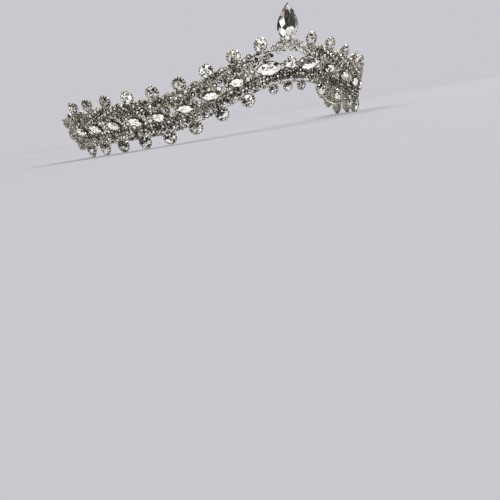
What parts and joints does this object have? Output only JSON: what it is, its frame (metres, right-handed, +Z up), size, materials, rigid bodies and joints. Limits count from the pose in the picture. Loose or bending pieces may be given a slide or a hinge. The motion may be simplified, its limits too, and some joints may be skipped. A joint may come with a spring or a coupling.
{
  "type": "tiara",
  "caption": "Open tiara: a leaning band of soldered silver wire with slanting rows of crystals, round claw-set stones on both edges and a tall pear-shaped stone over the front.",
  "frame": {"origin": "on the surface that the tiara stands on, under the middle of its outline", "axes": "+Z up, the front with the pear-shaped stone faces -Y, the open back faces +Y, +X is the right side as seen from the front"},
  "size_m": [0.195, 0.1215, 0.0648],
  "materials": {
    "silver_metal": "polished silver plate",
    "crystal": "clear foil-backed crystal",
    "stone_rows": "small clear crystals in silver cups"
  },
  "bodies": {
    "root": {"frame": "silver_metal", "pear_stone": "crystal", "center_stone": "crystal", "front_navette_left": "crystal", "front_navette_right": "crystal", "upper_stone_left_1": "crystal", "upper_stone_left_2": "crystal", "upper_stone_left_3": "crystal", "upper_stone_left_4": "crystal", "upper_stone_left_5": "crystal", "upper_stone_left_6": "crystal", "upper_stone_left_7": "crystal", "upper_stone_left_8": "crystal", "upper_stone_left_9": "crystal", "upper_stone_right_1": "crystal", "upper_stone_right_2": "crystal", "upper_stone_right_3": "crystal", "upper_stone_right_4": "crystal", "upper_stone_right_5": "crystal", "upper_stone_right_6": "crystal", "upper_stone_right_7": "crystal", "upper_stone_right_8": "crystal", "upper_stone_right_9": "crystal", "lower_stone_left_1": "crystal", "lower_stone_left_2": "crystal", "lower_stone_left_3": "crystal", "lower_stone_left_4": "crystal", "lower_stone_left_5": "crystal", "lower_stone_left_6": "crystal", "lower_stone_left_7": "crystal", "lower_stone_left_8": "crystal", "lower_stone_right_1": "crystal", "lower_stone_right_2": "crystal", "lower_stone_right_3": "crystal", "lower_stone_right_4": "crystal", "lower_stone_right_5": "crystal", "lower_stone_right_6": "crystal", "lower_stone_right_7": "crystal", "lower_stone_right_8": "crystal", "lower_stone_front_left": "crystal", "lower_stone_front_center": "crystal", "lower_stone_front_right": "crystal", "spine_stones_left": "crystal", "spine_stones_right": "crystal", "end_stones_left": "crystal", "end_stones_right": "crystal", "feather_rows_left": "stone_rows", "feather_rows_right": "stone_rows", "crest_stones": "crystal", "arch_rows": "stone_rows", "edge_rows": "stone_rows"}
  },
  "joints": []
}
